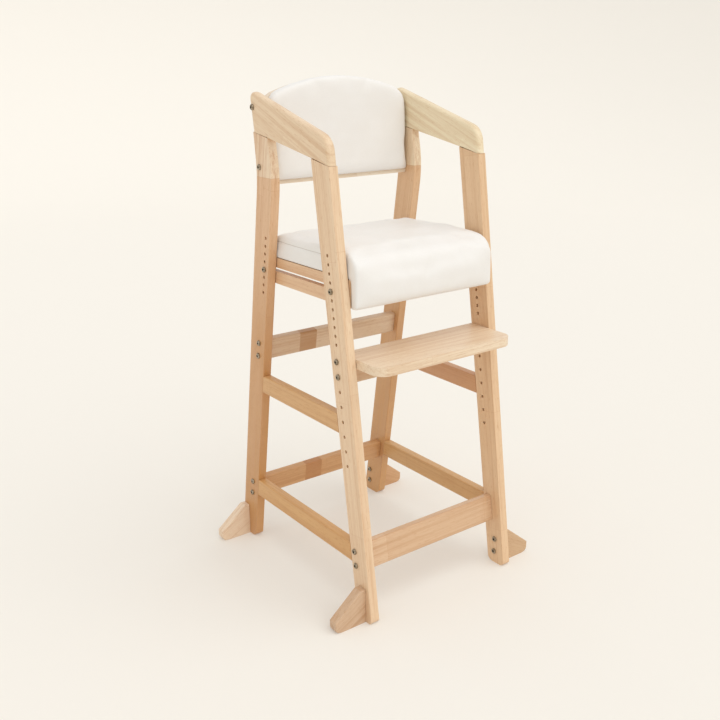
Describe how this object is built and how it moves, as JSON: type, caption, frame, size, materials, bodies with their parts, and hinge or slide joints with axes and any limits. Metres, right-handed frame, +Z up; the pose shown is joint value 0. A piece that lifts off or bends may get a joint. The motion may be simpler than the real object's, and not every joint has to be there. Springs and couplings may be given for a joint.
{
  "type": "high chair",
  "caption": "Wooden baby high chair with armrests, an arched padded backrest, a height-adjustable padded seat, an adjustable footrest and splayed stabiliser feet.",
  "frame": {"origin": "on the floor under the middle of the chair's overall box", "axes": "+Z up; the chair faces -Y; +X is its right-hand side seen from behind the camera, so left pieces are at -X"},
  "size_m": [0.5334, 0.506, 1.041],
  "materials": {
    "rubberwood": "clear satin lacquer over finger-jointed rubberwood",
    "white_vinyl": "soft white imitation leather over foam",
    "bolt_metal": "antique brass plated steel"
  },
  "bodies": {
    "frame": {"front_leg_left": "rubberwood", "front_leg_right": "rubberwood", "rear_leg_left": "rubberwood", "rear_leg_right": "rubberwood", "arm_left": "rubberwood", "arm_right": "rubberwood", "lower_side_rail_left": "rubberwood", "lower_side_rail_right": "rubberwood", "middle_side_rail_left": "rubberwood", "middle_side_rail_right": "rubberwood", "front_lower_rail": "rubberwood", "rear_lower_rail": "rubberwood", "rear_middle_rail": "rubberwood", "front_foot_left": "rubberwood", "front_foot_right": "rubberwood", "rear_foot_left": "rubberwood", "rear_foot_right": "rubberwood", "backrest_board": "rubberwood", "backrest_cushion": "white_vinyl", "front_rail_bolt_left_top": "bolt_metal", "front_rail_bolt_left_bottom": "bolt_metal", "front_rail_bolt_right_top": "bolt_metal", "front_rail_bolt_right_bottom": "bolt_metal", "rear_lower_bolt_left_top": "bolt_metal", "rear_lower_bolt_left_bottom": "bolt_metal", "rear_lower_bolt_right_top": "bolt_metal", "rear_lower_bolt_right_bottom": "bolt_metal", "rear_middle_bolt_left_top": "bolt_metal", "rear_middle_bolt_left_bottom": "bolt_metal", "rear_middle_bolt_right_top": "bolt_metal", "rear_middle_bolt_right_bottom": "bolt_metal", "backrest_bolt_left_top": "bolt_metal", "backrest_bolt_left_bottom": "bolt_metal", "backrest_bolt_right_top": "bolt_metal", "backrest_bolt_right_bottom": "bolt_metal", "front_foot_bolt_left_top": "bolt_metal", "front_foot_bolt_left_bottom": "bolt_metal", "front_foot_bolt_right_top": "bolt_metal", "front_foot_bolt_right_bottom": "bolt_metal", "rear_foot_bolt_left_top": "bolt_metal", "rear_foot_bolt_left_bottom": "bolt_metal", "rear_foot_bolt_right_top": "bolt_metal", "rear_foot_bolt_right_bottom": "bolt_metal"},
    "seat_bolts": {"front_seat_bolt_left": "bolt_metal", "front_seat_bolt_right": "bolt_metal", "seat_nut_left": "bolt_metal", "seat_nut_right": "bolt_metal"},
    "seat": {"seat_rail_left": "rubberwood", "seat_rail_right": "rubberwood", "seat_front_rail": "rubberwood", "seat_base": "rubberwood", "seat_cushion": "white_vinyl"},
    "rear_seat_bolts": {"rear_seat_bolt_left": "bolt_metal", "rear_seat_bolt_right": "bolt_metal"},
    "footrest": {"footrest_board": "rubberwood", "footrest_apron": "rubberwood", "footrest_bolt_left_top": "bolt_metal", "footrest_bolt_left_bottom": "bolt_metal", "footrest_bolt_right_top": "bolt_metal", "footrest_bolt_right_bottom": "bolt_metal"}
  },
  "joints": [
    {"name": "seat_height", "type": "slide", "parent": "frame", "child": "seat_bolts", "axis": [0, 0.1474, 0.9891], "range_m": [-0.05065, 0.05065]},
    {"name": "seat_depth", "type": "slide", "parent": "seat_bolts", "child": "seat", "axis": [0, 1, 0], "range_m": [-0.02, 0.008]},
    {"name": "rear_bolt_height", "type": "slide", "parent": "frame", "child": "rear_seat_bolts", "axis": [0, -0.1532, 0.9882], "range_m": [-0.0507, 0.0507]},
    {"name": "footrest_height", "type": "slide", "parent": "frame", "child": "footrest", "axis": [0, 0.1474, 0.9891], "range_m": [-0.17835, 0]}
  ]
}
